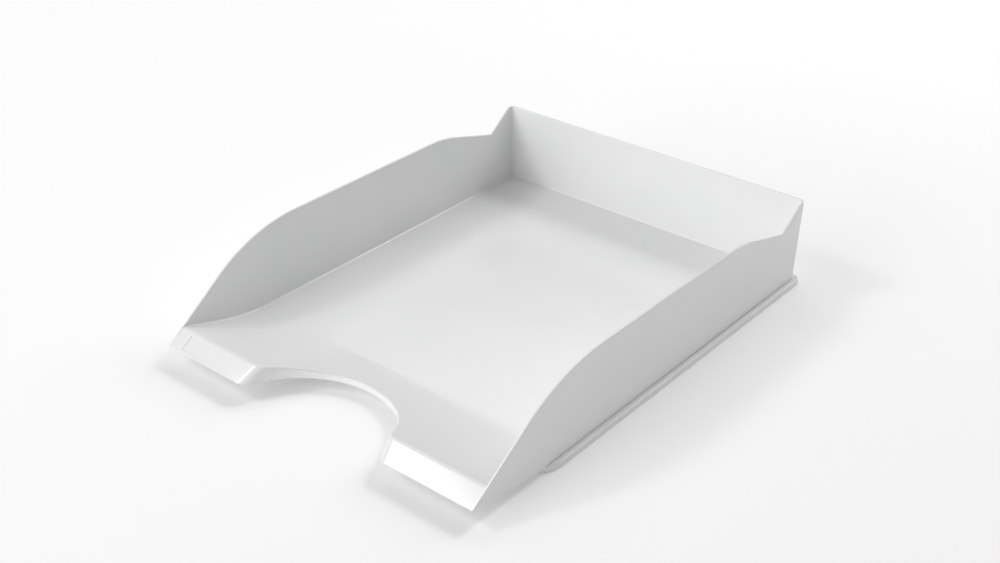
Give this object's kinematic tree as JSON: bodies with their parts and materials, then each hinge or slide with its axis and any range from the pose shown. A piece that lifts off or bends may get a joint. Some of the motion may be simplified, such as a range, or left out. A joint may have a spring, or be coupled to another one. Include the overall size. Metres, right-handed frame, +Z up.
{
  "type": "letter tray",
  "caption": "Low open-fronted desk tray for papers: flat floor, ramped front edge with a round grip cut-out, curved side walls and a stacking foot.",
  "frame": {"origin": "on the desk, under the middle of the tray's outer box", "axes": "+X to the user's right, across the tray; +Y to the rear wall, away from the user; +Z up"},
  "size_m": [0.253, 0.337, 0.063],
  "materials": {
    "polystyrene": "white injection-moulded polystyrene, semi-gloss"
  },
  "bodies": {
    "root": {"floor_panel": "polystyrene", "front_ramp": "polystyrene", "left_front_lip": "polystyrene", "right_front_lip": "polystyrene", "grip_rim": "polystyrene", "left_side_wall": "polystyrene", "right_side_wall": "polystyrene", "rear_wall": "polystyrene", "left_foot_rail": "polystyrene", "right_foot_rail": "polystyrene", "rear_foot_rail": "polystyrene", "front_foot_rail": "polystyrene"}
  },
  "joints": []
}
